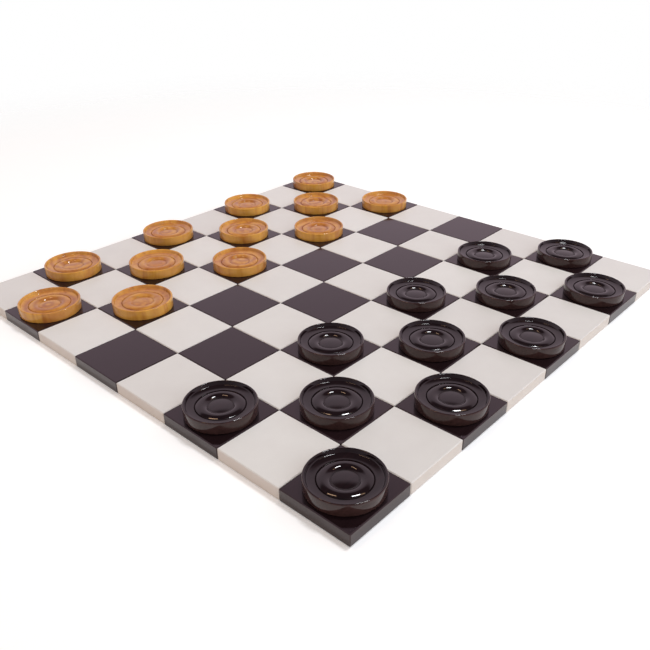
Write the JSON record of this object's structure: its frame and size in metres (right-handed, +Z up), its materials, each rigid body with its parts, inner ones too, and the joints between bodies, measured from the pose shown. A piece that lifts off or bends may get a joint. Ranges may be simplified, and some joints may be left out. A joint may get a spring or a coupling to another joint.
{
  "type": "draughts set",
  "caption": "Square chequered draughts board of thick wooden tiles pegged edge to edge, with turned and dished dark and light men standing on their opening squares.",
  "frame": {"origin": "middle of the board's underside, on the surface that it lies on", "axes": "+Z up; X and Y along the board's edges; the dark men's side is -Y and the near left corner square, at -X and -Y, is dark"},
  "size_m": [0.8834, 0.8834, 0.0365],
  "materials": {
    "white_tile_paint": "satin off-white paint on wood",
    "dark_tile_lacquer": "dark brown gloss lacquer on wood",
    "black_lacquer": "black-brown high gloss lacquer on turned wood",
    "honey_varnish": "clear gloss varnish on honey coloured turned wood",
    "dowel_beech": "bare beech"
  },
  "bodies": {
    "board": {"dark_tiles_row_1": "dark_tile_lacquer", "dark_tiles_row_2": "dark_tile_lacquer", "dark_tiles_row_3": "dark_tile_lacquer", "dark_tiles_row_4": "dark_tile_lacquer", "dark_tiles_row_5": "dark_tile_lacquer", "dark_tiles_row_6": "dark_tile_lacquer", "dark_tiles_row_7": "dark_tile_lacquer", "dark_tiles_row_8": "dark_tile_lacquer", "light_tiles_row_1": "white_tile_paint", "light_tiles_row_2": "white_tile_paint", "light_tiles_row_3": "white_tile_paint", "light_tiles_row_4": "white_tile_paint", "light_tiles_row_5": "white_tile_paint", "light_tiles_row_6": "white_tile_paint", "light_tiles_row_7": "white_tile_paint", "light_tiles_row_8": "white_tile_paint", "dowels_within_rows": "dowel_beech", "dowels_between_rows": "dowel_beech"},
    "dark_man_1": {"dark_man_1": "black_lacquer"},
    "dark_man_2": {"dark_man_2": "black_lacquer"},
    "dark_man_3": {"dark_man_3": "black_lacquer"},
    "dark_man_4": {"dark_man_4": "black_lacquer"},
    "dark_man_5": {"dark_man_5": "black_lacquer"},
    "dark_man_6": {"dark_man_6": "black_lacquer"},
    "dark_man_7": {"dark_man_7": "black_lacquer"},
    "dark_man_8": {"dark_man_8": "black_lacquer"},
    "dark_man_9": {"dark_man_9": "black_lacquer"},
    "dark_man_10": {"dark_man_10": "black_lacquer"},
    "dark_man_11": {"dark_man_11": "black_lacquer"},
    "dark_man_12": {"dark_man_12": "black_lacquer"},
    "light_man_1": {"light_man_1": "honey_varnish"},
    "light_man_2": {"light_man_2": "honey_varnish"},
    "light_man_3": {"light_man_3": "honey_varnish"},
    "light_man_4": {"light_man_4": "honey_varnish"},
    "light_man_5": {"light_man_5": "honey_varnish"},
    "light_man_6": {"light_man_6": "honey_varnish"},
    "light_man_7": {"light_man_7": "honey_varnish"},
    "light_man_8": {"light_man_8": "honey_varnish"},
    "light_man_9": {"light_man_9": "honey_varnish"},
    "light_man_10": {"light_man_10": "honey_varnish"},
    "light_man_11": {"light_man_11": "honey_varnish"},
    "light_man_12": {"light_man_12": "honey_varnish"}
  },
  "joints": [
    {"name": "lift_dark_man_1", "type": "slide", "parent": "board", "child": "dark_man_1", "axis": [0, 0, 1], "range_m": [0, 0.04]},
    {"name": "lift_dark_man_2", "type": "slide", "parent": "board", "child": "dark_man_2", "axis": [0, 0, 1], "range_m": [0, 0.04]},
    {"name": "lift_dark_man_3", "type": "slide", "parent": "board", "child": "dark_man_3", "axis": [0, 0, 1], "range_m": [0, 0.04]},
    {"name": "lift_dark_man_4", "type": "slide", "parent": "board", "child": "dark_man_4", "axis": [0, 0, 1], "range_m": [0, 0.04]},
    {"name": "lift_dark_man_5", "type": "slide", "parent": "board", "child": "dark_man_5", "axis": [0, 0, 1], "range_m": [0, 0.04]},
    {"name": "lift_dark_man_6", "type": "slide", "parent": "board", "child": "dark_man_6", "axis": [0, 0, 1], "range_m": [0, 0.04]},
    {"name": "lift_dark_man_7", "type": "slide", "parent": "board", "child": "dark_man_7", "axis": [0, 0, 1], "range_m": [0, 0.04]},
    {"name": "lift_dark_man_8", "type": "slide", "parent": "board", "child": "dark_man_8", "axis": [0, 0, 1], "range_m": [0, 0.04]},
    {"name": "lift_dark_man_9", "type": "slide", "parent": "board", "child": "dark_man_9", "axis": [0, 0, 1], "range_m": [0, 0.04]},
    {"name": "lift_dark_man_10", "type": "slide", "parent": "board", "child": "dark_man_10", "axis": [0, 0, 1], "range_m": [0, 0.04]},
    {"name": "lift_dark_man_11", "type": "slide", "parent": "board", "child": "dark_man_11", "axis": [0, 0, 1], "range_m": [0, 0.04]},
    {"name": "lift_dark_man_12", "type": "slide", "parent": "board", "child": "dark_man_12", "axis": [0, 0, 1], "range_m": [0, 0.04]},
    {"name": "lift_light_man_1", "type": "slide", "parent": "board", "child": "light_man_1", "axis": [0, 0, 1], "range_m": [0, 0.04]},
    {"name": "lift_light_man_2", "type": "slide", "parent": "board", "child": "light_man_2", "axis": [0, 0, 1], "range_m": [0, 0.04]},
    {"name": "lift_light_man_3", "type": "slide", "parent": "board", "child": "light_man_3", "axis": [0, 0, 1], "range_m": [0, 0.04]},
    {"name": "lift_light_man_4", "type": "slide", "parent": "board", "child": "light_man_4", "axis": [0, 0, 1], "range_m": [0, 0.04]},
    {"name": "lift_light_man_5", "type": "slide", "parent": "board", "child": "light_man_5", "axis": [0, 0, 1], "range_m": [0, 0.04]},
    {"name": "lift_light_man_6", "type": "slide", "parent": "board", "child": "light_man_6", "axis": [0, 0, 1], "range_m": [0, 0.04]},
    {"name": "lift_light_man_7", "type": "slide", "parent": "board", "child": "light_man_7", "axis": [0, 0, 1], "range_m": [0, 0.04]},
    {"name": "lift_light_man_8", "type": "slide", "parent": "board", "child": "light_man_8", "axis": [0, 0, 1], "range_m": [0, 0.04]},
    {"name": "lift_light_man_9", "type": "slide", "parent": "board", "child": "light_man_9", "axis": [0, 0, 1], "range_m": [0, 0.04]},
    {"name": "lift_light_man_10", "type": "slide", "parent": "board", "child": "light_man_10", "axis": [0, 0, 1], "range_m": [0, 0.04]},
    {"name": "lift_light_man_11", "type": "slide", "parent": "board", "child": "light_man_11", "axis": [0, 0, 1], "range_m": [0, 0.04]},
    {"name": "lift_light_man_12", "type": "slide", "parent": "board", "child": "light_man_12", "axis": [0, 0, 1], "range_m": [0, 0.04]}
  ]
}
